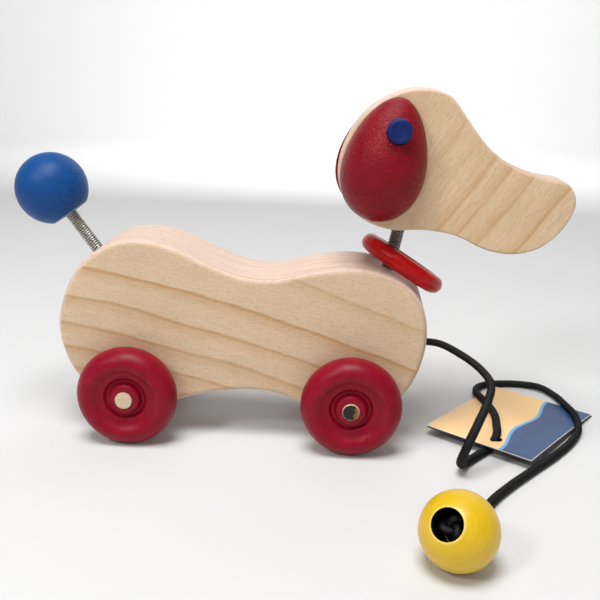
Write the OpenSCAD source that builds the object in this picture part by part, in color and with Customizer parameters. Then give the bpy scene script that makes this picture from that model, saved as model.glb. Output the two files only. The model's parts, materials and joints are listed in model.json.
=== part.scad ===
// Wooden pull-along dog: a rounded body board on four wheels, a head and a ball tail on
// close-coiled springs, a loose collar ring, and a braided cord with a pull bead.
// +X is forward, +Y is the dog's left, +Z is up. The wheels stand on z = 0, and x = 0 is
// about half way between the tail ball and the tip of the snout.

/* [Body] */
// Thickness of the body board
body_thick = 45; // [38:1:50]
// Radius of the body's rounded-over edges
body_round = 3.2; // [2:0.2:5]

/* [Head] */
// Thickness of the head board
head_thick = 24; // [20:1:26]
// Radius of the head's rounded-over edges
head_round = 1.4; // [1:0.2:4]
// Length of an ear, from its narrow end to its wide end
ear_len = 67; // [62:0.5:68]
// Width of an ear
ear_wide = 44.5; // [42:0.5:47]
// Lean of the right ear, its top going forward, in degrees
ear_lean = 12; // [6:1:14]
// How much further the left ear has swung back, in degrees
left_ear_swing = 7; // [0:1:15]

/* [Wheels] */
// Diameter of a wheel
wheel_d = 57; // [54:1:60]
// Thickness of a wheel
wheel_thick = 19; // [16:1:20]
// Diameter of the axle dowels
axle_d = 9.5; // [8:0.5:10]
// Gap between a wheel and the body
wheel_gap = 1.5; // [1:0.5:3]

/* [Springs, tail ball and collar] */
// Outer diameter of the springs
spring_d = 7.4; // [6.5:0.1:8]
// Diameter of the spring wire
wire_d = 1.2; // [1:0.1:1.5]
// Diameter of the tail ball
ball_d = 40.6; // [40:0.2:46]
// Diameter of the collar ring, across its outside
collar_d = 53.6; // [52:0.2:55]
// Diameter of the collar's round section
collar_bar = 10.2; // [9.4:0.2:10.6]

/* [Cord, bead and tag] */
// Diameter of the cord
cord_d = 4.4; // [4:0.1:4.4]
// Diameter of the pull bead
bead_d = 36; // [35:0.5:36]
// Length of the swing tag
tag_len = 94; // [90:1:94]
// Width of the swing tag
tag_wide = 66; // [62:1:66]

/* [Hidden] */

// Points on the body's edge in x and z, anticlockwise from the chest
body_edge = [
    [81.5, 67], [78.5, 83], [71, 93.5], [57, 101.5], [38, 104.5], [17, 102], [-4, 97], [-22, 97.5],
    [-40.5, 103.5], [-60, 112], [-80, 116], [-97.5, 112.5], [-112.5, 101.5], [-122.5, 85.5],
    [-127.5, 64], [-123, 42.5], [-111, 26], [-93, 17], [-73, 17], [-55, 23], [-38, 27.5],
    [-18, 30], [0, 28], [18, 20], [38, 15], [58, 18.5], [70.5, 31], [78.5, 47.5]
];
// Points on the head's edge, anticlockwise from the tip of the snout
head_edge = [
    [156, 143.5], [151, 153], [136.5, 156], [121, 161.5], [107, 171.5], [96, 184.5],
    [84.5, 197.5], [67.5, 200], [53.5, 195.5], [41, 186.5], [32, 172.5], [28, 158], [31.5, 142.5],
    [42.5, 130.5], [58, 125], [76, 125.5], [93.5, 123], [111.5, 115.5], [127, 114],
    [140.5, 118.5], [151.5, 130]
];
edge_steps = 3;       // straight pieces between two points on an edge
round_steps = 4;      // straight pieces across a rounded-over edge
free_gap = 0.3;       // air between pieces that move on each other
running_gap = 0.05;   // radial clearance of a pin that turns in its hole
beyond = 50;          // reach of a cutting shape past the piece it cuts

wheel_r = wheel_d / 2;
axle_x = [-86, 41];                                // rear and front axle
axle_short = 0.8;     // how far a dowel ends inside the widest plane of its wheels
axle_half = body_thick / 2 + wheel_gap + wheel_thick - axle_short;
wheel_mid = body_thick / 2 + wheel_gap + wheel_thick / 2;
tread_bulge = 8;      // depth of the rounded tread
boss_r = 8.8;         // raised boss around the axle
groove_r = 12.4;      // outer radius of the groove around the boss
// Corners of a wheel's outer face from the tread in to the axle: radius, and height over the
// middle of the wheel as a share of its thickness
wheel_face = [
    [wheel_r - 10.2, 0.45], [wheel_r - 12.6, 0.36], [groove_r + 1, 0.3], [groove_r, 0.29],
    [groove_r - 1.4, 0.18], [boss_r + 0.6, 0.18], [boss_r, 0.32], [boss_r - 1, 0.38],
    [axle_d / 2, 0.39]
];

neck_base = [58.7, 100.8];    // where the neck spring leaves the body, in x and z
neck_lean = 11;
neck_free = 25;               // length of the neck spring that shows
tail_base = [-109.2, 104.5];
tail_lean = -36;
tail_free = 26;
socket = 12;                  // depth of every spring socket
socket_d = spring_d + 0.2;
ball_flat = 17;               // from the ball's centre to its flat

collar_at = [66.9, 8, 101.6];  // centre of the collar, which has slid towards the left
collar_tilt = 32;             // slope of the body under the collar
collar_roll = 8;             // drop of its left side over the body's edge, in degrees

ear_pivot = [59, 180];        // axis of the ear pegs in x and z
ear_mid = [53.5, 163];        // middle of the right ear
egg_taper = 0.2;              // how much the wide end is fuller than the narrow end
egg_steps = 24;
peg_d = 9.4;                  // peg shank
peg_head_d = 12.8;
peg_head = 5.5;               // height of the peg's head
peg_edge = 1.4;               // rounding of the head's edge
peg_sink = 11;                // depth of the shank in the head
peg_seat_d = 14;              // flat on the ear under the peg's head

cord_r = cord_d / 2;
cord_hole_d = cord_d + 0.4;
cord_hole = [66, 57];         // bottom of the cord's hole in the chest, in x and z
cord_sides = 10;
cord_steps = 2;               // rings for each point of the route
// Route of the cord's centre line, from the hole in the chest to the knot in the bead
cord_route = [
    [66, 0, 57], [82, 0, 57], [91, -1.5, 56.5], [102, -7, 53], [112, -17.5, 49], [117, -31, 45],
    [114, -43, 39.5], [108, -53, 30.5], [103, -57.5, 20], [101, -54, 9], [103.5, -46, 3.5],
    [108, -39.5, 2.3], [116, -30, 2.3], [121, -24, 2.5], [124.5, -19, 4.8], [127, -13, 7],
    [128.5, -3, 6.5], [130, 12, 6], [129.5, 25, 5.3], [127, 39, 4.7], [124.5, 53, 3.5],
    [127, 64, 2.7], [134, 71, 2.3], [146, 74, 2.3], [158, 74, 2.4], [169, 69, 3], [176, 59, 2.5],
    [180, 42, 2.8], [181.5, 24, 3.7], [179, 6, 2.9], [171, -10, 2.3], [157, -29, 2.3],
    [141, -47.5, 2.3], [125, -66.5, 2.3], [113, -83, 2.3], [106, -98, 2.3], [101, -113, 4],
    [95.5, -125, 9.5], [88.5, -136, 19.5]
];
bead_at = [89.5, -134.5, 18];
bead_turn = [0, -36.4, -122.9];   // turns +X along the bead's hole, towards its wide mouth
bead_mouth_d = 14.5;
bead_mouth_depth = 15;
bead_face = 16.5;                 // from the bead's centre to the rim of its wide mouth
knot_d = 12.4;

tag_at = [140.6, 14, 2.9];
tag_turn = [0, 3.2, 55];
tag_thick = 0.5;
tag_hole_d = 7;
tag_hole_at = [-34.9, -6.4];      // centre of the hole on the tag

// ---- curves ----
function mix(a, b, t) = a + (b - a) * t;
function knot_gap(a, b) = sqrt(norm(b - a));
// Point at u between b and c on the smooth curve through a, b, c and d
function curve_point(a, b, c, d, u) =
    let (
        t1 = knot_gap(a, b), t2 = t1 + knot_gap(b, c), t3 = t2 + knot_gap(c, d),
        t = mix(t1, t2, u),
        ab = mix(a, b, t / t1), bc = mix(b, c, u), cd = mix(c, d, (t - t2) / (t3 - t2)),
        abc = mix(ab, bc, t / t2), bcd = mix(bc, cd, (t - t1) / (t3 - t1))
    )
    mix(abc, bcd, u);
function closed_curve(p, steps) =
    let (n = len(p))
    [for (i = [0:n - 1], k = [0:steps - 1])
        curve_point(p[(i + n - 1) % n], p[i], p[(i + 1) % n], p[(i + 2) % n], k / steps)];
// The end points are mirrored past each end, so the curve leaves them smoothly
function open_curve(p, steps) =
    let (n = len(p), q = concat([2 * p[0] - p[1]], p, [2 * p[n - 1] - p[n - 2]]))
    concat(
        [for (i = [1:n - 1], k = [0:steps - 1])
            curve_point(q[i - 1], q[i], q[i + 1], q[i + 2], k / steps)],
        [p[n - 1]]);
function unit(v) = v / norm(v);

// ---- shared shapes ----
// Faces round a tube of rings, each with n points
function side_faces(rings, n) =
    [for (j = [0:rings - 2], i = [0:n - 1])
        [j * n + i, j * n + (i + 1) % n, (j + 1) * n + (i + 1) % n, (j + 1) * n + i]];
// Faces over a long outline of n points, as rungs across it from its first point onwards
function rungs(n) = concat(
    [[0, 1, n - 1]],
    [for (i = [1:floor((n - 3) / 2)]) [i, i + 1, n - i - 1, n - i]],
    n % 2 == 0 ? [[n / 2 - 1, n / 2, n / 2 + 1]] : []);
function flipped(faces) = [for (f = faces) [for (k = [len(f) - 1:-1:0]) f[k]]];
function raised(faces, by) = [for (f = faces) [for (k = f) k + by]];
// Faces of a closed tube of rings, with the cap's faces given for the first ring
function tube_faces(rings, n, cap) =
    concat(flipped(cap), side_faces(rings, n), raised(cap, (rings - 1) * n));

// A board standing in the X-Z plane about y = 0, cut to a curved edge and rounded over. The
// first point on the edge is at one end of the board, so that rungs cross its faces cleanly
module rounded_board(edge, thick, radius) {
    p = closed_curve(edge, edge_steps);
    n = len(p);
    out = [for (i = [0:n - 1]) let (d = p[(i + 1) % n] - p[(i + n - 1) % n]) unit([d.y, -d.x])];
    half = [for (k = [0:round_steps]) let (a = 90 * k / round_steps)
        [radius * (1 - sin(a)), thick / 2 - radius * (1 - cos(a))]];
    rings = concat([for (h = half) [h[0], -h[1]]], [for (k = [round_steps:-1:0]) half[k]]);
    points = [for (r = rings, i = [0:n - 1])
        let (q = p[i] - out[i] * r[0]) [q.x, r[1], q.y]];
    polyhedron(points, tube_faces(len(rings), n, rungs(n)));
}

// Puts +Z along a spring that leans in the X-Z plane and starts at base
module along_spring(base, lean) {
    translate([base.x, 0, base.y]) rotate([0, lean, 0]) children();
}

// A closed-coil spring, as the sleeve that its touching turns make
module spring_sleeve(base, lean, free) {
    along_spring(base, lean) translate([0, 0, -socket]) difference() {
        cylinder(h = free + 2 * socket, d = spring_d, $fn = 48);
        translate([0, 0, -1])
            cylinder(h = free + 2 * socket + 2, d = spring_d - 2 * wire_d, $fn = 48);
    }
}

// The hole that a spring is glued into, from its mouth at z = 0 upwards
module spring_socket() {
    translate([0, 0, -2]) cylinder(h = socket + 2, d = socket_d, $fn = 48);
}

// A bar along Y at x and z, centred on y = 0
module cross_bar(x, z, d, length) {
    translate([x, 0, z]) rotate([90, 0, 0]) cylinder(h = length, d = d, center = true, $fn = 64);
}

// ---- body and wheels ----
module body() {
    color("burlywood") difference() {
        rounded_board(body_edge, body_thick, body_round);
        for (x = axle_x) cross_bar(x, wheel_r, axle_d + 2 * running_gap, body_thick + 2);
        along_spring(neck_base, neck_lean) mirror([0, 0, 1]) spring_socket();
        along_spring(tail_base, tail_lean) mirror([0, 0, 1]) spring_socket();
        translate([cord_hole.x, 0, cord_hole.y]) rotate([0, 90, 0])
            cylinder(h = beyond, d = cord_hole_d, $fn = 32);
    }
}

module axle(x) {
    color("wheat") cross_bar(x, wheel_r, axle_d, 2 * axle_half);
}

// Half of the wheel's section: radius and distance towards the outer face
function wheel_section() = concat(
    [[axle_d / 2, -wheel_thick / 2]],
    [for (a = [-90:15:90]) [wheel_r - tread_bulge * (1 - cos(a)), wheel_thick / 2 * sin(a)]],
    [for (p = wheel_face) [p[0], wheel_thick * p[1]]]);

// side is -1 for the right wheels and 1 for the left ones
module wheel(x, side) {
    color("crimson") translate([x, side * wheel_mid, wheel_r]) rotate([-90 * side, 0, 0])
        rotate_extrude($fn = 96) polygon(wheel_section());
}

// ---- head and ears ----
module head() {
    color("burlywood") difference() {
        rounded_board(head_edge, head_thick, head_round);
        along_spring(neck_base, neck_lean) translate([0, 0, neck_free]) spring_socket();
        for (side = [-1, 1])
            translate([0, side * (head_thick / 2 - peg_sink / 2 + 1), 0])
                cross_bar(ear_pivot.x, ear_pivot.y, peg_d, peg_sink + 2);
    }
}

// An egg on end about the origin, its fuller half below
module egg() {
    rotate_extrude($fn = 72) polygon([for (k = [0:egg_steps]) let (a = 180 * k / egg_steps)
        [ear_wide / 2 * sin(a) * (1 - egg_taper * cos(a)), ear_len / 2 * cos(a)]]);
}

// Half an egg with its flat side against the right of the head, bored for the peg and with
// a flat seat under the peg's head
module half_ear() {
    difference() {
        translate([ear_mid.x, 0, ear_mid.y]) rotate([0, ear_lean, 0]) intersection() {
            egg();
            translate([-beyond, -beyond, -beyond]) cube([2 * beyond, beyond, 2 * beyond]);
        }
        cross_bar(ear_pivot.x, ear_pivot.y, peg_d + 2 * running_gap, 2 * beyond);
        translate([0, -beyond - ear_rise(), 0])
            cross_bar(ear_pivot.x, ear_pivot.y, peg_seat_d, 2 * beyond);
    }
}

module right_ear() {
    color("firebrick") translate([0, -head_thick / 2 - free_gap, 0]) half_ear();
}

module left_ear() {
    color("firebrick") translate([ear_pivot.x, 0, ear_pivot.y]) rotate([0, left_ear_swing, 0])
        translate([-ear_pivot.x, head_thick / 2 + free_gap, -ear_pivot.y])
        mirror([0, 1, 0]) half_ear();
}

// Height of the ear's round side over the head, at the peg
function ear_rise() =
    let (up = (ear_pivot.y - ear_mid.y) * cos(ear_lean) + (ear_pivot.x - ear_mid.x) * sin(ear_lean),
         c = 2 * up / ear_len)
    ear_wide / 2 * sqrt(1 - c * c) * (1 - egg_taper * c);

// A peg from inside the head out through the ear, with a round-edged head
module ear_peg(side) {
    reach = peg_sink + free_gap + ear_rise() + free_gap;
    color("mediumblue") translate([ear_pivot.x, side * (head_thick / 2 - peg_sink), ear_pivot.y])
        rotate([-90 * side, 0, 0]) rotate_extrude($fn = 64) polygon(concat(
            [[0, 0], [peg_d / 2, 0], [peg_d / 2, reach], [peg_head_d / 2, reach]],
            [for (a = [0:22.5:90]) [peg_head_d / 2 - peg_edge * (1 - cos(a)),
                reach + peg_head - peg_edge * (1 - sin(a))]],
            [[0, reach + peg_head]]));
}

// ---- tail and collar ----
module tail_ball() {
    color("royalblue") along_spring(tail_base, tail_lean) translate([0, 0, tail_free]) difference() {
        translate([0, 0, ball_flat]) sphere(d = ball_d, $fn = 96);
        translate([-ball_d, -ball_d, -2 * ball_d]) cube(2 * ball_d);
        spring_socket();
    }
}

module collar_ring() {
    color("red") translate(collar_at) rotate([0, collar_tilt, 0]) rotate([-collar_roll, 0, 0])
        rotate_extrude($fn = 96) translate([(collar_d - collar_bar) / 2, 0])
        circle(d = collar_bar, $fn = 48);
}

// ---- cord, bead and tag ----
module pull_cord() {
    p = open_curve(cord_route, cord_steps);
    n = len(p);
    points = [for (j = [0:n - 1])
        let (t = unit(p[min(j + 1, n - 1)] - p[max(j - 1, 0)]),
             side = unit(cross([0, 0, 1], t)), up = cross(t, side))
        for (i = [0:cord_sides - 1]) let (a = 360 * i / cord_sides)
        p[j] + cord_r * (cos(a) * side - sin(a) * up)];
    color("black") polyhedron(points, tube_faces(n, cord_sides, [[for (i = [0:cord_sides - 1]) i]]));
}

// Puts +X along the bead's hole, towards its wide mouth
module in_bead() {
    translate(bead_at) rotate(bead_turn) children();
}

module pull_bead() {
    color("gold") in_bead() rotate([0, 90, 0]) difference() {
        sphere(d = bead_d, $fn = 96);
        translate([0, 0, -bead_d]) cylinder(h = 2 * bead_d, d = cord_hole_d, $fn = 32);
        translate([0, 0, bead_face - bead_mouth_depth])
            cylinder(h = bead_d, d = bead_mouth_d, $fn = 64);
    }
}

module bead_knot() {
    color("black") in_bead() translate([bead_face - bead_mouth_depth + knot_d / 2, 0, 0])
        sphere(d = knot_d, $fn = 48);
}

module swing_tag() {
    color("sandybrown") translate(tag_at) rotate(tag_turn) difference() {
        cube([tag_len, tag_wide, tag_thick], center = true);
        translate([tag_hole_at.x, tag_hole_at.y, -1]) cylinder(h = 2, d = tag_hole_d, $fn = 48);
    }
}

body();
head();
right_ear();
left_ear();
ear_peg(-1);  // right_ear_peg
ear_peg(1);  // left_ear_peg
color("dimgray") spring_sleeve(neck_base, neck_lean, neck_free);  // neck_spring
color("silver") spring_sleeve(tail_base, tail_lean, tail_free);  // tail_spring
tail_ball();
collar_ring();
axle(axle_x[1]);  // front_axle
axle(axle_x[0]);  // rear_axle
wheel(axle_x[1], -1);  // front_right_wheel
wheel(axle_x[1], 1);  // front_left_wheel
wheel(axle_x[0], -1);  // rear_right_wheel
wheel(axle_x[0], 1);  // rear_left_wheel
pull_cord();
pull_bead();
bead_knot();
swing_tag();
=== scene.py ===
"""Looks of the wooden pull-along dog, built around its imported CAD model.

Lengths are in metres, in the CAD model's frame: +X forward, +Y the dog's left, +Z up, the wheels on z = 0.
"""

import json
import math

import bmesh
import bpy
import numpy as np
from mathutils import Matrix, Vector


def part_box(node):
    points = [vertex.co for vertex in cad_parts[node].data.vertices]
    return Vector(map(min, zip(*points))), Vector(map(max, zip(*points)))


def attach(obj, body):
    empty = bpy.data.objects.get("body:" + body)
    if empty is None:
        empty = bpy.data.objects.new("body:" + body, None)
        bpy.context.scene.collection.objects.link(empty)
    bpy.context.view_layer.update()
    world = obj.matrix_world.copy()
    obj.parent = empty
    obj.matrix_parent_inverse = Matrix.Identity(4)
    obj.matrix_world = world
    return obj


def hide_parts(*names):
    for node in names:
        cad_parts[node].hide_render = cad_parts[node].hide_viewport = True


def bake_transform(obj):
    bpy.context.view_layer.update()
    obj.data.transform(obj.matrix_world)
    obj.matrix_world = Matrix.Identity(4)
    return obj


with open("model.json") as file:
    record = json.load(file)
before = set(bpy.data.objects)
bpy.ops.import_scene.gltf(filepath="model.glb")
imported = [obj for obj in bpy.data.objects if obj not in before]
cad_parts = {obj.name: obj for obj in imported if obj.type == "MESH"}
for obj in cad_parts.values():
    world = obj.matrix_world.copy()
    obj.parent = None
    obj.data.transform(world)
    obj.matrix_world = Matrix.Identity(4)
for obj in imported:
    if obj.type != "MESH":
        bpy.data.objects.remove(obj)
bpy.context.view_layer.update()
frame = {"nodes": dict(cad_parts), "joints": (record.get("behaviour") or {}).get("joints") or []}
MM = 0.001

# Camera
CAMERA_AT = (0.0358, -0.4441, 0.2165)
CAMERA_PAN, CAMERA_TILT, CAMERA_ROLL = -3.475, -17.177, 1.478   # degrees
LENS = 48.0                                                     # mm on a 36 mm sensor

# Pull cord: the CAD route's points, in metres, and its fullness along the way
CORD_D = 0.0044
CORD_ROUTE = MM * np.array([
    [66, 0, 57], [82, 0, 57], [91, -1.5, 56.5], [102, -7, 53], [112, -17.5, 49], [117, -31, 45],
    [114, -43, 39.5], [108, -53, 30.5], [103, -57.5, 20], [101, -54, 9], [103.5, -46, 3.5],
    [108, -39.5, 2.3], [116, -30, 2.3], [121, -24, 2.5], [124.5, -19, 4.8], [127, -13, 7],
    [128.5, -3, 6.5], [130, 12, 6], [129.5, 25, 5.3], [127, 39, 4.7], [124.5, 53, 3.5],
    [127, 64, 2.7], [134, 71, 2.3], [146, 74, 2.3], [158, 74, 2.4], [169, 69, 3], [176, 59, 2.5],
    [180, 42, 2.8], [181.5, 24, 3.7], [179, 6, 2.9], [171, -10, 2.3], [157, -29, 2.3],
    [141, -47.5, 2.3], [125, -66.5, 2.3], [113, -83, 2.3], [106, -98, 2.3], [101, -113, 4],
    [95.5, -125, 9.5], [88.5, -136, 19.5]])
CORD_LENGTH = 0.54                                              # from inside the body to the bead
CORD_FULL_AT = (0.0, 0.05, 0.12, 0.2, 0.33, 0.42, CORD_LENGTH)  # distance along the cord
CORD_FULLNESS = (0.86, 0.94, 1.1, 1.0, 0.92, 1.04, 1.1)         # share of its nominal radius there
CORD_HIDDEN, CORD_HOLE_GAP = 0.006, 0.0003                      # length left out in its hole, room round it
CORD_RING_GAP, CORD_COLUMNS = 0.00036, 36                       # between the mesh's rings, points in each
CORD_PATH_STEP = 8
FLOOR_GAP = 0.0001
BRAID_STRANDS, BRAID_PITCH, BRAID_RELIEF = 8, 0.0016, 0.0008
KNOT_SCALE, KNOT_R = 0.0016, CORD_D * 0.46
KNOT_RING_GAP, KNOT_COLUMNS = 0.0004, 24

# Shapes that the CAD boxes don't give
CLEARANCE = 0.0002                                              # round what goes through a hole
CUT_PAST, CUT_LONG = 0.01, 0.03                                 # reach of a cutter past a piece, or out of it
BODY_ROUND, HEAD_ROUND = 0.0032, 0.0014
EDGE_GAP, FLAT_RIM = 0.0015, 0.0008                             # mesh of a board's edge, rim inside it
SPRING_WIRE, SPRING_PITCH = 0.0011, 0.00132
SPRING_SOCKET, SPRING_IN = 0.012, 0.003                         # depth of a socket, coil drawn inside it
SPRING_JOINT = {"neck_spring": "neck_sway", "tail_spring": "tail_wag"}
BALL_FLAT = 0.017                                               # ball's centre to its flat
COLLAR_D, COLLAR_BAR = 0.0536, 0.0102
COLLAR_TILT, COLLAR_ROLL = 32.0, 8.0                            # slope, and drop of its left side
EAR_LEAN = {"right_ear": 12.0, "left_ear": 19.0}
EAR_TAPER = 0.2                                                 # how much fuller the lower end is
EAR_EASE, EAR_EASE_DEPTH = 0.034, 0.0007                        # how far its back edge is drawn in
PEG_D, PEG_HEAD = 0.0094, 0.0055
PEG_SEAT_D, PEG_SEAT_GAP = 0.014, 0.0003
AXLE_R = 0.00475
BEAD_TURN = (-36.4, -122.9)                                     # turns +X towards the bead's mouth
BEAD_MOUTH_R, BEAD_MOUTH_DEPTH = 0.00725, 0.015                 # the knot's counterbore
BEAD_FACE = 0.0165                                              # bead's centre to its mouth
TAG_AT, TAG_TURN = (0.1406, 0.014, 0.0029), (3.2, 55.0)
TAG_SIZE, TAG_BOW, LEAF = (0.094, 0.066), 0.0004, 0.00025       # LEAF is the card's thickness
TAG_HOLE, TAG_HOLE_R = Vector((-0.0349, -0.0064, 0.0)), 0.0035
BAND_SPAN = 150.0                                               # mm that the growth bands cover


# ---- places from the CAD model ----
def centre_of(node):
    low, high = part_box(node)
    return (low + high) / 2


def size_of(node):
    low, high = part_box(node)
    return high - low


def joint(name):
    return next(j for j in frame["joints"] if j["name"] == name)


def turned(y=0.0, z=0.0, x=0.0):
    """Turned about X, then Y, then Z, by those degrees."""
    about = lambda degrees, axis: Matrix.Rotation(math.radians(degrees), 4, axis)
    return about(z, "Z") @ about(y, "Y") @ about(x, "X")


def spring_line(node):
    """A spring's bending point, the unit vector up along it, its radius and its length."""
    hinge = joint(SPRING_JOINT[node])
    up = Vector(hinge["axis"]).cross(Vector((0.0, 1.0, 0.0)))
    up = (up if up.z > 0 else -up).normalized()
    coil_r = size_of(node).y / 2
    return Vector(hinge["pos_m"]), up, coil_r, (size_of(node).z - 2 * coil_r * abs(up.x)) / up.z


def linked(name, data):
    made = bpy.data.objects.new(name, data)
    bpy.context.scene.collection.objects.link(made)
    return made


def placed(made, at, turn):
    made.matrix_world = Matrix.Translation(at) @ turn
    return made


# ---- curves ----
def lengths_along(line):
    """How far along a line each of its points lies."""
    return np.concatenate([[0], np.cumsum(np.linalg.norm(np.diff(line, axis=0), axis=1))])


def smooth_line(points, spacing, closed=False):
    """Points about spacing apart on the centripetal Catmull-Rom curve through the points."""
    p = np.asarray(points, float)
    if closed:
        q = np.concatenate([p[-1:], p, p[:2]])
    else:
        q = np.concatenate([2 * p[:1] - p[1:2], p, 2 * p[-1:] - p[-2:-1]])
    a, b, c, d = q[:-3], q[1:-2], q[2:-1], q[3:]
    gap = lambda u, v: np.sqrt(np.linalg.norm(v - u, axis=1))[:, None]
    t1 = gap(a, b)
    t2 = t1 + gap(b, c)
    t3 = t2 + gap(c, d)
    dense = []
    for u in np.arange(0, 1, 0.05):
        t = t1 + (t2 - t1) * u
        ab, bc, cd = a + (b - a) * t / t1, b + (c - b) * u, c + (d - c) * (t - t2) / (t3 - t2)
        abc, bcd = ab + (bc - ab) * t / t2, bc + (cd - bc) * (t - t1) / (t3 - t1)
        dense.append(abc + (bcd - abc) * u)
    line = np.stack(dense, axis=1).reshape(-1, p.shape[1])
    line = np.concatenate([line, line[:1] if closed else p[-1:]])
    along = lengths_along(line)
    at = np.linspace(0, along[-1], round(along[-1] / spacing) + 1)
    even = np.stack([np.interp(at, along, line[:, k]) for k in range(line.shape[1])], axis=1)
    return even[:-1] if closed else even


def filleted(points, reach, steps=5):
    """An open outline with its corners, but not its ends, rounded over at most that reach each way."""
    p = np.asarray(points, float)
    out = [p[0]]
    for before, corner, after in zip(p, p[1:], p[2:]):
        back, on = before - corner, after - corner
        r = min(reach, np.linalg.norm(back) * 0.45, np.linalg.norm(on) * 0.45)
        a, b = corner + back / np.linalg.norm(back) * r, corner + on / np.linalg.norm(on) * r
        out += [a * (1 - t) ** 2 + corner * 2 * t * (1 - t) + b * t * t for t in np.linspace(0, 1, steps)]
    return np.array(out + [p[-1]])


# ---- meshes ----
def piece(name, points, faces, sharp=50):
    """A smooth-shaded mesh object, with edges sharper than that angle kept sharp."""
    mesh = bpy.data.meshes.new(name)
    mesh.from_pydata(np.asarray(points).tolist(), [], faces)
    work = bmesh.new()
    work.from_mesh(mesh)
    bmesh.ops.remove_doubles(work, verts=work.verts, dist=1e-6)
    bmesh.ops.recalc_face_normals(work, faces=work.faces)
    work.to_mesh(mesh)
    work.free()
    mesh.shade_smooth()
    mesh.set_sharp_from_angle(angle=math.radians(sharp))
    return linked(name, mesh)


def grid_faces(rows, columns, closed=True):
    """Quads between rows of points, each row joined to itself if it is closed."""
    wide = columns if closed else columns - 1
    return [[j * columns + i, j * columns + (i + 1) % columns,
             (j + 1) * columns + (i + 1) % columns, (j + 1) * columns + i]
            for j in range(rows - 1) for i in range(wide)]


def capped(faces, rows, columns):
    return faces + [list(range(columns))[::-1], list(range((rows - 1) * columns, rows * columns))]


def lathe(name, profile, steps=128, sharp=50):
    """A profile of (radius, height) points turned about +Z."""
    p = np.asarray(profile, float)
    a = np.linspace(0, 2 * math.pi, steps, endpoint=False)
    points = np.stack([p[:, :1] * np.cos(a), p[:, :1] * np.sin(a), np.repeat(p[:, 1:], steps, 1)], axis=2)
    return piece(name, points.reshape(-1, 3), grid_faces(len(p), steps), sharp)


def sides_along(line):
    """Two unit vectors across each point of a line, which turn as little as they can."""
    ahead = np.gradient(line, axis=0)
    ahead /= np.linalg.norm(ahead, axis=1)[:, None]
    side = np.cross(ahead[0], (0.0, 0.0, 1.0) if abs(ahead[0][2]) < 0.9 else (1.0, 0.0, 0.0))
    sides = []
    for t in ahead:
        side = side - t * (side @ t)
        side = side / np.linalg.norm(side)
        sides.append(side)
    sides = np.array(sides)
    return sides, np.cross(ahead, sides)


def tube(line, radii, columns):
    """Points, ring by ring, and faces of a closed tube about a line, with a radius for each point."""
    side, up = sides_along(line)
    a = np.linspace(0, 2 * math.pi, columns, endpoint=False)
    around = side[:, None] * np.cos(a)[None, :, None] + up[:, None] * np.sin(a)[None, :, None]
    points = line[:, None] + around * np.broadcast_to(radii, (len(line), columns))[:, :, None]
    return points, capped(grid_faces(len(line), columns), len(line), columns)


def cut(target, cutters):
    """Cuts closed pieces out of a piece and removes them."""
    for c in cutters:
        m = target.modifiers.new("cut", "BOOLEAN")
        m.operation, m.object, m.solver = "DIFFERENCE", c, "EXACT"
    shown = target.evaluated_get(bpy.context.evaluated_depsgraph_get())
    mesh = bpy.data.meshes.new_from_object(shown)
    target.modifiers.clear()
    target.data = mesh
    mesh.set_sharp_from_angle(angle=math.radians(35))
    for c in cutters:
        bpy.data.objects.remove(c)


def rod(radius, start, end):
    """A plain cylinder between two points, for cutting."""
    way = Vector(end) - Vector(start)
    made = lathe("cutter", [(0, 0), (radius, 0), (radius, way.length), (0, way.length)], 64)
    return placed(made, start, way.to_track_quat("Z", "Y").to_matrix().to_4x4())


def finish_piece(made, body, node, material):
    made.data.materials.clear()
    made.data.materials.append(material)
    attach(made, body)
    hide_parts(node)
    return made


# ---- materials ----
SOCKETS = {"specular": "Specular IOR Level", "coat": "Coat Weight", "coat_roughness": "Coat Roughness",
           "metallic": "Metallic"}


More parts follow.
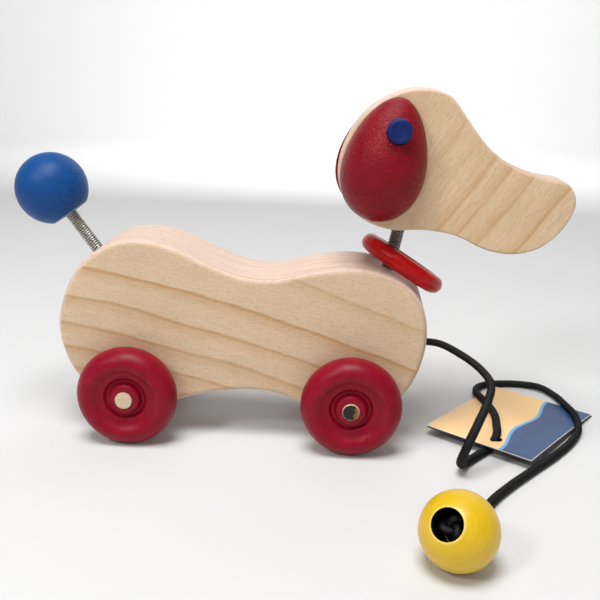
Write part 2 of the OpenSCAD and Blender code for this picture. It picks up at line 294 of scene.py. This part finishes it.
class Material:
    """A node material, with methods that add nodes and return their outputs, or that feed its shader."""

    def __init__(self, name, roughness=0.5, **sockets):
        self.material = bpy.data.materials.new(name)
        self.material.use_nodes = True
        self.tree = self.material.node_tree
        self.shader = self.tree.nodes["Principled BSDF"]
        self.shader.inputs["Roughness"].default_value = roughness
        for socket, value in sockets.items():
            self.shader.inputs[SOCKETS[socket]].default_value = value

    def node(self, kind, inputs=(), **settings):
        made = self.tree.nodes.new(kind)
        for key, value in settings.items():
            setattr(made, key, value)
        for key, value in dict(inputs).items():
            self.feed(made.inputs[key], value)
        return made

    def feed(self, socket, value):
        if isinstance(value, bpy.types.NodeSocket):
            self.tree.links.new(value, socket)
        elif socket.type == "RGBA" and len(value) == 3:
            socket.default_value = (*value, 1.0)
        else:
            socket.default_value = value

    def math(self, operation, a, b=0.0, c=0.0):
        return self.node("ShaderNodeMath", {0: a, 1: b, 2: c}, operation=operation).outputs[0]

    def times(self, a, b):
        return self.math("MULTIPLY", a, b)

    def sum(self, *terms):
        total = terms[0]
        for term in terms[1:]:
            total = self.math("ADD", total, term)
        return total

    def object_mm(self, turn_y=0.0, scale=(1.0, 1.0, 1.0)):
        """Object coordinates in millimetres, turned about Y by that many degrees and then scaled."""
        where = self.node("ShaderNodeTexCoord").outputs["Object"]
        turned_to = self.node("ShaderNodeMapping", {
            "Vector": where, "Rotation": (0.0, math.radians(turn_y), 0.0), "Scale": (1 / MM,) * 3})
        return self.scaled(turned_to.outputs[0], scale)

    def scaled(self, vector, scale):
        return self.node("ShaderNodeVectorMath", {0: vector, 1: scale}, operation="MULTIPLY").outputs[0]

    def axes(self, vector):
        return self.node("ShaderNodeSeparateXYZ", {0: vector}).outputs

    def off_axis(self, p):
        """Distance from the object's own Z axis."""
        return self.math("SQRT", self.sum(self.times(p[0], p[0]), self.times(p[1], p[1])))

    def noise(self, vector, scale, detail=2.0, roughness=0.5):
        settings = {"Vector": vector, "Scale": scale, "Detail": detail, "Roughness": roughness}
        return self.node("ShaderNodeTexNoise", settings).outputs["Fac"]

    def ramp(self, value, *stops):
        """Colours or grey levels by place: (place, colour) pairs in rising order."""
        made = self.node("ShaderNodeValToRGB", {0: value})
        band = made.color_ramp
        while len(band.elements) < len(stops):
            band.elements.new(1.0)
        for element, (place, colour) in zip(band.elements, stops):
            element.position = place
            element.color = (colour, colour, colour, 1.0) if isinstance(colour, float) else (*colour, 1.0)
        return made.outputs["Color"]

    def mix(self, share, a, b, blend="MIX"):
        made = self.node("ShaderNodeMix", {0: share, 6: a, 7: b}, data_type="RGBA", blend_type=blend)
        return made.outputs[2]

    def colour(self, value):
        self.feed(self.shader.inputs["Base Color"], value)

    def roughness(self, value):
        self.feed(self.shader.inputs["Roughness"], value)

    def bump(self, height, distance, strength=1.0):
        """Bumps of a height from 0 to 1 that stand that many metres high."""
        made = self.node("ShaderNodeBump", {"Height": height, "Distance": distance, "Strength": strength})
        self.feed(self.shader.inputs["Normal"], made.outputs[0])


def srgb(red, green, blue):
    """Linear colour of an sRGB one given from 0 to 255."""
    return tuple(c / 255 / 12.92 if c < 10 else ((c / 255 + 0.055) / 1.055) ** 2.4
                 for c in (red, green, blue))


def shade(colour, share):
    return tuple(share * c for c in colour)


def banded(m, level, bands):
    """0 on plain wood and up to 1 on the growth bands at those levels, crisp above and fading below."""
    stops = [(0.0, 0.0)]
    for at, strength in bands:
        stops += [((at - 8) / BAND_SPAN, 0.0), ((at - 2) / BAND_SPAN, 0.45 * strength),
                  ((at - 0.3) / BAND_SPAN, strength), ((at + 0.8) / BAND_SPAN, 0.0)]
    return m.ramp(m.math("DIVIDE", level, BAND_SPAN), *stops)


def strayed(m, vector, detail, reach):
    """Noise about zero, with that many millimetres from its lowest to its highest."""
    return m.times(m.math("SUBTRACT", m.noise(vector, 1.0, detail), 0.5), reach)


def wood(name, level, bands, turn, light, dark):
    """Bare satin board: growth bands on its two faces, fine lengthwise lines round its edge.

    level gives how far up through the growth bands a point lies, and bands lists the bands as
    (level, strength) pairs in rising order, all in millimetres. turn lays the fibres along the bands.
    """
    m = Material(name, roughness=0.55, specular=0.3)
    where = m.object_mm()
    wander = strayed(m, m.scaled(where, (0.012, 0.03, 0.03)), 2.0, 7.0)
    fray = strayed(m, m.object_mm(turn, (0.06, 0.5, 0.9)), 3.0, 2.0)
    band = banded(m, m.sum(level(m, m.axes(where)), wander, fray), bands)
    fibres = m.noise(m.object_mm(turn, (0.08, 1.2, 1.5)), 1.0, 5.0, 0.72)
    pores = m.noise(m.object_mm(turn, (0.3, 3.6, 5.0)), 1.0, 2.0, 0.5)
    blotch = m.noise(m.scaled(where, (0.02, 0.05, 0.05)), 1.0, 3.0, 0.55)
    face = m.mix(m.ramp(blotch, (0.32, 0.0), (0.7, 1.0)), light, shade(light, 0.92))
    face = m.mix(m.times(band, 0.9), face, dark)
    face = m.mix(m.ramp(fibres, (0.34, 0.0), (0.7, 1.0)), face, (0.84, 0.77, 0.67), "MULTIPLY")
    face = m.mix(m.ramp(pores, (0.54, 0.0), (0.7, 0.55)), face, shade(dark, 0.6))
    lines = m.noise(m.scaled(where, (0.012, 0.7, 0.012)), 1.0, 3.0, 0.6)
    dashes = m.noise(m.scaled(where, (0.3, 2.4, 0.3)), 1.0, 3.0, 0.6)
    edge = m.mix(m.ramp(lines, (0.5, 0.0), (0.62, 1.0)), srgb(222, 198, 182), srgb(200, 170, 149))
    edge = m.mix(m.ramp(dashes, (0.45, 0.0), (0.65, 0.6)), edge, srgb(190, 160, 142))
    outward = m.math("ABSOLUTE", m.axes(m.node("ShaderNodeTexCoord").outputs["Normal"])[1])
    m.colour(m.mix(m.ramp(outward, (0.72, 0.0), (0.97, 1.0)), edge, face))
    m.roughness(m.math("MULTIPLY_ADD", fibres, 0.2, 0.45))
    m.bump(m.sum(fibres, pores), 0.00012, 0.6)
    return m.material


def body_wood():
    """The bands fall towards the front and curve a little."""
    level = lambda m, p: m.sum(p[2], m.times(p[0], 0.31), m.times(p[1], 0.22),
                               m.times(m.times(p[0], p[0]), 0.0005), 5.0)
    bands = ((10, 0.7), (22, 0.8), (37, 0.8), (54, 0.9), (73, 1.0), (99, 0.6))
    return wood("body_wood", level, bands, -8.0, srgb(228, 203, 174), srgb(196, 148, 96))


def head_wood():
    """The bands rise steeply towards the front, across the snout."""
    level = lambda m, p: m.sum(m.times(p[0], 0.819), m.times(p[2], -0.574), m.times(p[1], 0.3), 60.0)
    bands = ((30, 0.35), (41, 0.25), (53, 0.7), (63, 0.6), (75, 0.7), (94, 0.8))
    return wood("head_wood", level, bands, 55.0, srgb(230, 202, 168), srgb(200, 150, 98))


def stained(name, colour, deep, roughness, grain, pit_depth=0.00016):
    """Stained wood: grain shows through the colour, and the satin surface is slightly pitted."""
    m = Material(name, roughness=roughness, specular=0.2)
    streaks = m.noise(m.object_mm(scale=grain), 1.0, 4.0, 0.6)
    cloud = m.noise(m.object_mm(scale=(0.06, 0.06, 0.09)), 1.0, 2.0, 0.5)
    pits = m.noise(m.object_mm(), 1.15, 3.0, 0.55)
    base = m.mix(m.ramp(streaks, (0.3, 0.0), (0.7, 1.0)), colour, deep)
    base = m.mix(m.ramp(cloud, (0.35, 0.0), (0.7, 0.5)), base, deep)
    m.colour(base)
    m.roughness(m.math("MULTIPLY_ADD", pits, 0.3, roughness - 0.15))
    m.bump(m.sum(m.times(streaks, 0.6), pits), pit_depth)
    return m.material


def bead_paint():
    """Yellow varnish over turned wood, worn pale round the mouth, with painted shade, near black, inside it.
    """
    m = Material("bead_yellow", roughness=0.36, coat=0.15, coat_roughness=0.25)
    p = m.axes(m.object_mm())
    reach = m.off_axis(p)
    streaks = m.noise(m.object_mm(scale=(0.08, 0.08, 0.9)), 1.0, 3.0, 0.55)
    pits = m.noise(m.object_mm(), 1.15, 3.0, 0.55)
    mouth_side = m.math("GREATER_THAN", p[2], 1.0)
    worn = m.ramp(m.math("DIVIDE", m.sum(reach, m.times(pits, 0.8)), 10.0), (0.8, 1.0), (0.9, 0.0))
    # Painted shade: the counterbore's walls and floor are coloured near black.
    inside = m.math("LESS_THAN", reach, BEAD_MOUTH_R / MM + 0.05)
    paint = m.mix(m.ramp(streaks, (0.3, 0.0), (0.7, 1.0)), srgb(224, 184, 6), srgb(216, 174, 5))
    paint = m.mix(m.times(worn, mouth_side), paint, srgb(236, 206, 96))
    m.colour(m.mix(m.times(inside, mouth_side), paint, srgb(14, 11, 9)))
    m.bump(pits, 0.0001)
    return m.material


def steel(name, colour, roughness):
    m = Material(name, roughness=roughness, metallic=1.0)
    dull = m.noise(m.object_mm(), 0.35, 3.0, 0.6)
    m.colour(m.mix(m.ramp(dull, (0.35, 0.0), (0.7, 1.0)), colour, shade(colour, 0.55)))
    m.roughness(m.math("MULTIPLY_ADD", dull, 0.2, roughness - 0.08))
    return m.material


def end_grain():
    m = Material("end_grain", roughness=0.7)
    specks = m.noise(m.object_mm(), 2.6, 2.0, 0.7)
    wave = {"Vector": m.object_mm(), "Scale": 0.35, "Distortion": 3.0, "Detail": 2.0}
    rings = m.node("ShaderNodeTexWave", wave, wave_type="RINGS").outputs["Fac"]
    base = m.mix(m.ramp(specks, (0.42, 0.0), (0.62, 1.0)), srgb(232, 215, 186), srgb(184, 156, 118))
    m.colour(m.mix(m.times(rings, 0.3), base, srgb(200, 172, 134)))
    m.bump(specks, 0.0002)
    return m.material


def dark_end():
    """End of an axle, near black with a golden-brown patch towards the front, and a chipped rim of bare wood.
    """
    m = Material("dark_end", roughness=0.6)
    p = m.axes(m.object_mm())
    chips = m.noise(m.object_mm(), 0.9, 3.0, 0.7)
    reach = m.sum(m.math("DIVIDE", m.off_axis(p), AXLE_R / MM), m.times(m.math("SUBTRACT", chips, 0.5), 0.22))
    rim = m.ramp(reach, (0.92, 0.0), (0.97, 1.0))
    patch = m.ramp(m.sum(m.times(p[0], 0.12), m.times(p[1], -0.02), chips), (0.74, 0.0), (0.84, 1.0))
    base = m.mix(patch, srgb(20, 14, 14), srgb(150, 104, 50))
    m.colour(m.mix(rim, base, srgb(226, 200, 160)))
    m.bump(chips, 0.0004)
    return m.material


def braid():
    m = Material("cord_braid", roughness=0.45, specular=0.3)
    fibres = m.noise(m.object_mm(), 2.2, 3.0, 0.7)
    m.colour(m.mix(m.ramp(fibres, (0.4, 0.0), (0.75, 1.0)), srgb(5, 5, 6), srgb(14, 14, 16)))
    m.bump(fibres, 0.0002)
    return m.material


def card():
    """Plain printed card: a peach field and a navy one, with a wavy pale blue line between and a pale rim."""
    m = Material("tag_card", roughness=0.4)
    p = m.axes(m.object_mm())
    swell = m.times(m.math("SINE", m.times(p[0], 0.11)), 2.2)
    level = m.math("DIVIDE", m.sum(p[1], m.times(p[0], -0.064), swell, 42.0), TAG_SIZE[1] / MM)
    mottle = m.noise(m.object_mm(), 0.12, 3.0, 0.6)
    peach = m.mix(m.times(mottle, 0.5), srgb(255, 214, 150), srgb(250, 192, 124))
    navy = m.mix(m.times(mottle, 0.6), srgb(36, 70, 118), srgb(28, 58, 102))
    field = m.mix(m.ramp(level, (0.482, 0.0), (0.487, 1.0)), navy, srgb(96, 168, 222))
    field = m.mix(m.ramp(level, (0.51, 0.0), (0.517, 1.0)), field, peach)
    past = [m.math("SUBTRACT", m.math("ABSOLUTE", p[k]), TAG_SIZE[k] / 2 / MM - 0.3) for k in (0, 1)]
    edge = m.math("GREATER_THAN", m.math("MAXIMUM", *past), 0.0)
    m.colour(m.mix(edge, field, srgb(240, 236, 228)))
    m.bump(mottle, 0.0001)
    return m.material


def tag_back_shadow():
    # Near-black card for the tag's back leaf: the strip of it that peeks out under the front leaf is painted
    # shadow.
    m = Material("tag_back_shadow", roughness=0.6)
    mottle = m.noise(m.object_mm(), 0.3, 3.0, 0.6)
    m.colour(m.mix(mottle, srgb(30, 28, 30), srgb(44, 42, 46)))
    m.bump(mottle, 0.0001)
    return m.material


# ---- camera, floor and light ----
def add_camera():
    data = bpy.data.cameras.new("camera")
    data.sensor_width, data.lens, data.clip_start = 36.0, LENS, 0.01
    aim = turned(z=-CAMERA_PAN, x=90 + CAMERA_TILT) @ turned(z=CAMERA_ROLL)
    bpy.context.scene.camera = placed(linked("camera", data), CAMERA_AT, aim)


def add_floor():
    """A pale floor that sweeps up into a wall all round, far from the toy."""
    flat, bend = 1.6, 0.8
    sweep = [(flat + bend * math.sin(a), bend * (1 - math.cos(a))) for a in np.linspace(0, math.pi / 2, 13)]
    floor = lathe("floor", [(0, 0), (flat / 2, 0), *sweep, (flat + bend, 2 * bend)], 96)
    m = Material("floor", roughness=0.9)
    m.colour(m.mix(m.noise(m.object_mm(), 0.01), srgb(216, 216, 216), srgb(219, 219, 219)))
    floor.data.materials.append(m.material)


def add_light(name, at, size, watts, aim=(0.0, 0.0, 0.08)):
    data = bpy.data.lights.new(name, "AREA")
    data.shape, data.size, data.energy = "DISK", size, watts
    light = linked(name, data)
    light.location = at
    light.rotation_euler = (Vector(aim) - Vector(at)).to_track_quat("-Z", "Y").to_euler()


def add_lights():
    add_light("key", (-0.1, -0.35, 1.35), 0.7, 16.5)
    add_light("left", (-0.7, -0.8, 0.95), 0.25, 4.5)
    add_light("front", (0.5, -1.2, 0.7), 0.9, 1.2)
    add_light("back", (0.3, 0.9, 1.1), 1.0, 2.5)
    add_light("backdrop", (0.0, 0.9, 0.9), 0.8, 22.0, aim=(0.0, 2.4, 0.6))
    world = bpy.data.worlds.new("world")
    world.use_nodes = True
    sky = world.node_tree.nodes["Background"].inputs
    sky["Color"].default_value, sky["Strength"].default_value = (1.0, 1.0, 1.0, 1.0), 0.22
    bpy.context.scene.world = world
    bpy.context.scene.view_settings.view_transform = "Standard"


# ---- cord, bead and tag ----
def braid_radii(lengths, columns, radius):
    """Radius at each point of each ring of a round braid, with as many strands each way."""
    a = np.linspace(0, 1, columns, endpoint=False) * BRAID_STRANDS
    along = lengths[:, None] / BRAID_PITCH
    u, v = a[None] + along, a[None] - along
    first_on_top = (np.floor(u) + np.floor(v)) % 2 == 0
    bow = lambda x, power: np.sin(math.pi * (x % 1)) ** power
    height = np.where(first_on_top, bow(u, 0.7) * bow(v, 0.5), bow(v, 0.7) * bow(u, 0.5))
    return np.reshape(radius, (-1, 1)) + BRAID_RELIEF * (height - 0.6)


def braided(line, radius, columns):
    """Points and faces of a braided tube about a line."""
    return tube(line, braid_radii(lengths_along(line), columns, radius), columns)


def add_cord(material):
    """The cord, which stays just above the floor, with its line and its length."""
    line = smooth_line(CORD_ROUTE, CORD_RING_GAP)
    line = line[np.linalg.norm(line - CORD_ROUTE[0], axis=1) > CORD_HIDDEN]
    along = np.linspace(0, 1, len(line)) * CORD_LENGTH
    radius = CORD_D / 2 * np.interp(along, CORD_FULL_AT, CORD_FULLNESS)
    points, faces = braided(line, radius, CORD_COLUMNS)
    points[:, :, 2] = np.maximum(points[:, :, 2], FLOOR_GAP)
    cord = piece("braided_cord", points.reshape(-1, 3), faces, sharp=80)
    finish_piece(cord, "chassis", "pull_cord", material)
    return cord, line[::CORD_PATH_STEP], lengths_along(line)[-1]


def add_bead(material):
    """A ball with the cord's bore and, at one end, a wide counterbore for the knot."""
    r, mouth, face = size_of("pull_bead").x / 2, BEAD_MOUTH_R, BEAD_FACE
    bore = CORD_D / 2 + CLEARANCE
    turn = np.arange(math.asin(mouth / r), math.pi - math.asin(bore / r), math.radians(3))
    outside = [(r * math.sin(a), r * math.cos(a)) for a in turn]
    inside = [(bore, -r * math.cos(math.asin(bore / r))), (bore, face - BEAD_MOUTH_DEPTH),
              (mouth, face - BEAD_MOUTH_DEPTH), (mouth, face - 0.001)]
    bead = lathe("bead", filleted(inside + outside + inside[:1], 0.0009, 4), sharp=60)
    placed(bead, centre_of("pull_bead"), turned(*BEAD_TURN) @ turned(90))
    return finish_piece(bead, "chassis", "pull_bead", material)


def add_knot(material):
    """The cord's end tied in a tight knot, as a trefoil of the same braid."""
    t = np.linspace(0, 2 * math.pi, 140, endpoint=False)
    loop = (np.sin(t) + 2 * np.sin(2 * t), np.cos(t) - 2 * np.cos(2 * t), -1.2 * np.sin(3 * t))
    line = smooth_line(np.stack(loop, axis=1) * KNOT_SCALE, KNOT_RING_GAP, closed=True)
    points, faces = braided(line, KNOT_R, KNOT_COLUMNS)
    knot = piece("cord_knot", points.reshape(-1, 3), faces, sharp=80)
    placed(knot, centre_of("bead_knot"), turned(*BEAD_TURN) @ turned(90))
    return finish_piece(knot, "chassis", "bead_knot", material)


def add_leaf(name, lift, shift, material):
    """One leaf of the folded tag, slightly bowed, with the cord's hole."""
    (long, wide), (rows, columns) = TAG_SIZE, (34, 48)
    x, y = np.meshgrid(np.linspace(-0.5, 0.5, columns) * long, np.linspace(-0.5, 0.5, rows) * wide)
    bow = TAG_BOW * (1 - (2 * x / long) ** 2)
    top, bottom = [np.stack([x, y, bow + lift + z], axis=2).reshape(-1, 3) for z in (LEAF, 0.0)]
    under = rows * columns
    number = np.arange(under).reshape(rows, columns)
    ring = np.concatenate([number[0], number[1:, -1], number[-1, -2::-1], number[-2:0:-1, 0]]).tolist()
    sheet = grid_faces(rows, columns, closed=False)
    faces = sheet + [[under + k for k in f[::-1]] for f in sheet]
    faces += [[a, under + a, under + b, b] for a, b in zip(ring, ring[1:] + ring[:1])]
    leaf = piece(name, np.concatenate([top, bottom]), faces, 40)
    through = Vector((0.0, 0.0, CUT_PAST))
    cut(leaf, [rod(TAG_HOLE_R, TAG_HOLE - through, TAG_HOLE + through)])
    placed(leaf, TAG_AT, turned(*TAG_TURN) @ Matrix.Translation((-shift, -shift, 0.0)))
    return finish_piece(leaf, "chassis", "swing_tag", material)


# ---- springs ----
def add_spring(node, bodies, material):
    """A close-coiled spring drawn in two halves, below and above its bending point."""
    middle, up, coil_r, length = spring_line(node)
    across, side = Vector(joint(SPRING_JOINT[node])["axis"]), Vector((0.0, 1.0, 0.0))
    half = length / 2 - SPRING_SOCKET + SPRING_IN
    steps, wire = 20, SPRING_WIRE / 2                           # steps per turn, and the wire's radius
    for part, low, high, pair in (("lower", -half, 0.0, bodies[:2]), ("upper", 0.0, half, bodies[1:])):
        z = np.arange(round(low / SPRING_PITCH * steps), round(high / SPRING_PITCH * steps) + 1) / steps
        a = 2 * math.pi * z
        line = (np.array(middle)[None] + np.outer(z * SPRING_PITCH, up)
                + (coil_r - wire) * (np.outer(np.cos(a), across.normalized()) + np.outer(np.sin(a), side)))
        points, faces = tube(line, wire, 10)
        made = piece(f"{node}_{part}", points.reshape(-1, 3), faces, 80)
        made.data.materials.append(material)
        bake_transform(made)
        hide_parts(node)


def spring_hole(node, end):
    """The hole around one end of a spring (-1 lower, 1 upper), from its middle outwards."""
    middle, up, coil_r, length = spring_line(node)
    return rod(coil_r + CLEARANCE, middle, middle + up * end * length / 2)


# ---- boards ----
def board_edge(node, round_r):
    """The board's edge in x and z, walked round the ring of CAD points at the end of its flat wall."""
    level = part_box(node)[0].y + round_r
    work = bmesh.new()
    work.from_mesh(frame["nodes"][node].data)
    bmesh.ops.remove_doubles(work, verts=work.verts, dist=1e-6)
    ring = {v for v in work.verts if abs(v.co.y - level) < 1e-5}
    here = min(ring, key=lambda v: (v.co.x, v.co.z))
    seen, edge = set(), []
    while here is not None:
        seen.add(here)
        edge.append((here.co.x, here.co.z))
        beside = [e.other_vert(here) for e in here.link_edges]
        here = next((v for v in beside if v in ring and v not in seen), None)
    work.free()
    edge = np.array(edge)
    area = np.sum(edge[:, 0] * np.roll(edge[:, 1], -1) - np.roll(edge[:, 0], -1) * edge[:, 1])
    return edge if area > 0 else edge[::-1]


def add_board(node, round_r):
    """The CAD board with a smooth edge, and a flat rim inside each rounding so that the faces shade flat."""
    edge = smooth_line(board_edge(node, round_r), EDGE_GAP, closed=True)
    ahead = np.roll(edge, -1, 0) - np.roll(edge, 1, 0)
    out = np.stack([ahead[:, 1], -ahead[:, 0]], 1) / np.linalg.norm(ahead, axis=1)[:, None]
    half = size_of(node).y / 2
    rounding = [(round_r + FLAT_RIM, -half)]
    rounding += [(round_r * (1 - math.sin(a)), -half + round_r * (1 - math.cos(a)))
                 for a in np.linspace(0, math.pi / 2, 9)]
    wall = [(0.0, y) for y in np.linspace(-half + round_r, half - round_r, 8)[1:-1]]
    rows = rounding + wall + [(inset, -y) for inset, y in rounding[::-1]]
    points = np.array([np.insert(edge - out * inset, 1, y, axis=1) for inset, y in rows])
    return piece(f"{node}_board", points.reshape(-1, 3),
                 capped(grid_faces(len(rows), len(edge)), len(rows), len(edge)), 40)


def add_body(material):
    board = add_board("body", BODY_ROUND)
    low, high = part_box("body")
    cutters = []
    for axle in ("front_axle", "rear_axle"):
        x, _, z = centre_of(axle)
        cutters.append(rod(AXLE_R + CLEARANCE, (x, low.y - CUT_PAST, z), (x, high.y + CUT_PAST, z)))
    inner = Vector(CORD_ROUTE[0])
    cutters.append(rod(CORD_D / 2 + CORD_HOLE_GAP, inner, inner + Vector((CUT_LONG, 0.0, 0.0))))
    cutters += [spring_hole(spring, -1) for spring in ("neck_spring", "tail_spring")]
    cut(board, cutters)
    return finish_piece(board, "chassis", "body", material)


def add_head(material):
    board = add_board("head", HEAD_ROUND)
    cut(board, [spring_hole("neck_spring", 1)])
    return finish_piece(board, "head", "head", material)


# ---- wheels and axles ----
def wheel_profile(radius, thick):
    """Tread, dish, groove and boss, from the back to the front face, as (radius, height)."""
    half, bulge = thick / 2, 0.008
    tread = [(radius - bulge * (1 - math.cos(a)), half * math.sin(a))
             for a in np.radians(np.arange(-90, 91, 5))]
    dish = smooth_line([tread[-2], tread[-1], (radius - 0.0102, thick * 0.45),
                        (radius - 0.0126, thick * 0.36), (0.0134, thick * 0.3)], 0.0004)[3:]
    groove = [dish[-1], (0.0124, thick * 0.29), (0.011, thick * 0.18), (0.0094, thick * 0.18)]
    boss = [(0.0088, thick * 0.32), (0.0078, thick * 0.38), (AXLE_R + 0.0001, thick * 0.39)]
    hub, bore = filleted(groove + boss, 0.0006), [(AXLE_R, thick * 0.34), (AXLE_R, -half)]
    return np.concatenate([bore[1:], tread, dish, hub[1:], bore])


def add_wheel(node, body, side, material):
    size = size_of(node)
    wheel = lathe(f"{node}_turned", wheel_profile(size.x / 2, size.y), 144, 60)
    placed(wheel, centre_of(node), turned(x=-90 * side))
    return finish_piece(wheel, body, node, material)


def add_axle(node, body, plain, right_end):
    """A dowel, with its own material on its right-hand end."""
    half, r = size_of(node).y / 2, AXLE_R
    edge = filleted([(0, -half), (r, -half), (r, half), (0, half)], 0.0005, 4)
    axle = lathe(f"{node}_dowel", edge, 64, 60)
    placed(axle, centre_of(node), turned(x=90))
    finish_piece(axle, body, node, plain)
    axle.data.materials.append(right_end)
    for face in axle.data.polygons:
        if face.center.z > half - 0.0004:
            face.material_index = 1
    return axle


# ---- ears and pegs ----
def add_ear(node, side, material):
    """Half an egg on the side of the head, with its back edge eased and a flat seat under the peg."""
    lean = turned(EAR_LEAN[node])
    local = np.array([lean.inverted() @ v.co for v in frame["nodes"][node].data.vertices])
    low, high = local.min(0), local.max(0)
    across, deep, along = (high - low) * (0.5, 1.0, 0.5)
    middle = (low + high) / 2
    a = np.concatenate([[0], np.radians(np.linspace(2, 178, 89)), [math.pi]])
    turn = math.pi * (1 - np.cos(math.pi * np.linspace(0, 1, 73))) / 2
    fuller = np.sin(a) * (1 - EAR_TAPER * np.cos(a))
    fuller /= fuller.max()
    depth = deep * np.outer(fuller, np.sin(turn))
    ease = 1 - EAR_EASE * np.exp(-depth / EAR_EASE_DEPTH)
    x = across * np.outer(fuller, np.cos(turn)) * ease
    z = along * np.cos(a)[:, None] * ease
    base = low[1] if side > 0 else high[1]
    points = np.stack([middle[0] + x, base + side * depth, middle[2] + z], axis=2)
    faces = grid_faces(len(a), len(turn), closed=False) + back_faces(len(a), len(turn))
    ear = piece(f"{node}_half_egg", points.reshape(-1, 3) @ np.array(lean.to_3x3()).T, faces, 60)
    peg = centre_of(f"{node}_peg")
    seat = side * (abs(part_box(f"{node}_peg")[0 if side < 0 else 1].y) - PEG_HEAD - PEG_SEAT_GAP)
    cut(ear, [rod(PEG_SEAT_D / 2, (peg.x, seat, peg.z), (peg.x, seat + side * CUT_LONG, peg.z))])
    return finish_piece(ear, node, node, material)


def back_faces(rows, columns):
    """The flat back, between the first and the last point of each row."""
    return [[j * columns, (j + 1) * columns, (j + 2) * columns - 1, (j + 1) * columns - 1]
            for j in range(rows - 1)]


def add_peg(node, side, material):
    """A peg whose head has a shallow dimple in its end."""
    low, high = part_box(node)
    length, r = high.y - low.y, (high.x - low.x) / 2
    edge = filleted([(0, 0), (PEG_D / 2, 0), (PEG_D / 2, length - PEG_HEAD), (r, length - PEG_HEAD),
                     (r, length - 0.0008), (r - 0.0012, length), (r * 0.62, length),
                     (r * 0.6, length - 0.0004), (0, length - 0.0003)], 0.0009, 6)
    peg = lathe(f"{node}_turned", edge, 96, 60)
    x, _, z = centre_of(node)
    placed(peg, (x, low.y if side > 0 else high.y, z), turned(x=-90 * side))
    return finish_piece(peg, "head", node, material)


# ---- tail ball and collar ----
def add_ball(material):
    """The ball, with a flat and the spring's hole towards the body."""
    _, up, coil_r, _ = spring_line("tail_spring")
    r, hole = size_of("tail_ball").y / 2, coil_r + CLEARANCE
    arc = [(r * math.sin(a), -r * math.cos(a)) for a in np.linspace(math.acos(BALL_FLAT / r), math.pi, 60)]
    profile = filleted([(0, 0), (hole, 0), (hole, -BALL_FLAT), *arc], 0.0007, 4)
    ball = lathe("ball", profile, sharp=60)
    placed(ball, centre_of("tail_ball"), up.to_track_quat("Z", "Y").to_matrix().to_4x4())
    return finish_piece(ball, "tail_tip", "tail_ball", material)


def add_collar(material):
    bar = COLLAR_BAR / 2
    profile = [(COLLAR_D / 2 - bar + bar * math.cos(t), bar * math.sin(t))
               for t in np.linspace(0, 2 * math.pi, 33)]
    ring = lathe("collar", profile, 144, 80)
    placed(ring, centre_of("collar_ring"), turned(COLLAR_TILT, x=-COLLAR_ROLL))
    return finish_piece(ring, "collar", "collar_ring", material)


# ---- the scene ----
add_camera()
cord_material = braid()
cord, cord_line, cord_length = add_cord(cord_material)
bead = add_bead(bead_paint())
knot = add_knot(cord_material)
leaf = add_leaf("tag_front_leaf", lift=0.0003, shift=0.0, material=card())
# The back leaf sits lower and shifted, so it shows as a dark strip of painted shadow along the front leaf's
# lower edge.
back_shadow_leaf = add_leaf("tag_back_shadow_leaf", lift=-0.0001, shift=0.0009, material=tag_back_shadow())
add_floor()
add_lights()

add_body(body_wood())
add_head(head_wood())
add_spring("neck_spring", ("chassis", "neck", "head"), steel("neck_steel", srgb(150, 146, 140), 0.34))
add_spring("tail_spring", ("chassis", "tail", "tail_tip"), steel("tail_steel", srgb(205, 202, 196), 0.28))
add_ball(stained("ball_blue", srgb(18, 84, 150), srgb(10, 62, 122), 0.4, (0.1, 0.9, 0.9)))
add_collar(stained("collar_red", srgb(196, 10, 14), srgb(160, 5, 9), 0.24, (0.2, 0.2, 0.2)))
wheel_material = stained("wheel_red", srgb(150, 4, 38), srgb(128, 3, 30), 0.34, (0.3, 0.3, 0.3))
plain_end = end_grain()
for axle, right_end in (("front", dark_end()), ("rear", plain_end)):
    add_axle(f"{axle}_axle", f"{axle}_wheelset", plain_end, right_end)
    for name, side in (("right", -1), ("left", 1)):
        add_wheel(f"{axle}_{name}_wheel", f"{axle}_wheelset", side, wheel_material)
ear_material = stained("ear_red", srgb(150, 2, 26), srgb(112, 2, 18), 0.25, (0.1, 0.5, 1.2), 0.00048)
peg_material = stained("peg_blue", srgb(16, 46, 116), srgb(10, 30, 84), 0.45, (0.4, 0.4, 0.4))
for name, side in (("right_ear", -1), ("left_ear", 1)):
    add_ear(name, side, ear_material)
    add_peg(f"{name}_peg", side, peg_material)
